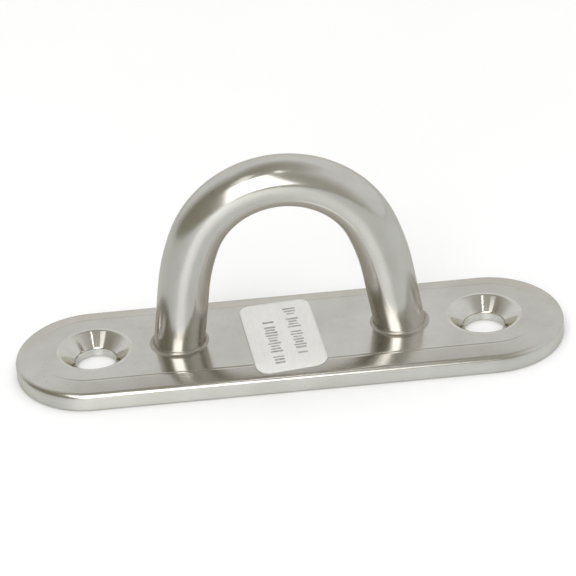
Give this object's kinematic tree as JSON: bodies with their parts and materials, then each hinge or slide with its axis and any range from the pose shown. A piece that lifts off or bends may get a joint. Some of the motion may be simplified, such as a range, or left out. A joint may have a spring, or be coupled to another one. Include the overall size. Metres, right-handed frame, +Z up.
{
  "type": "pad eye",
  "caption": "Oblong welded pad eye: a round polished bar bent into a D-shaped eye on a bevelled base plate with a countersunk screw hole near each end.",
  "frame": {"origin": "centre of the base plate's underside, midway between the two legs of the eye", "axes": "+X along the plate through both screw holes, +Y through the eye across the plate, +Z up out of the mounting surface"},
  "size_m": [0.0648, 0.018, 0.026],
  "materials": {
    "polished_plate": "polished",
    "polished_bar": "mirror polished",
    "weld_metal": "dressed and polished",
    "ground_weld": "ground flush",
    "label_glue": "clear tacky film",
    "label_paper": "coated white paper"
  },
  "bodies": {
    "root": {"base_plate": "polished_plate", "eye_bar": "polished_bar", "fillet_weld_left": "weld_metal", "fillet_weld_right": "weld_metal", "root_weld_left": "ground_weld", "root_weld_right": "ground_weld", "label_glue": "label_glue", "label_paper": "label_paper"}
  },
  "joints": []
}
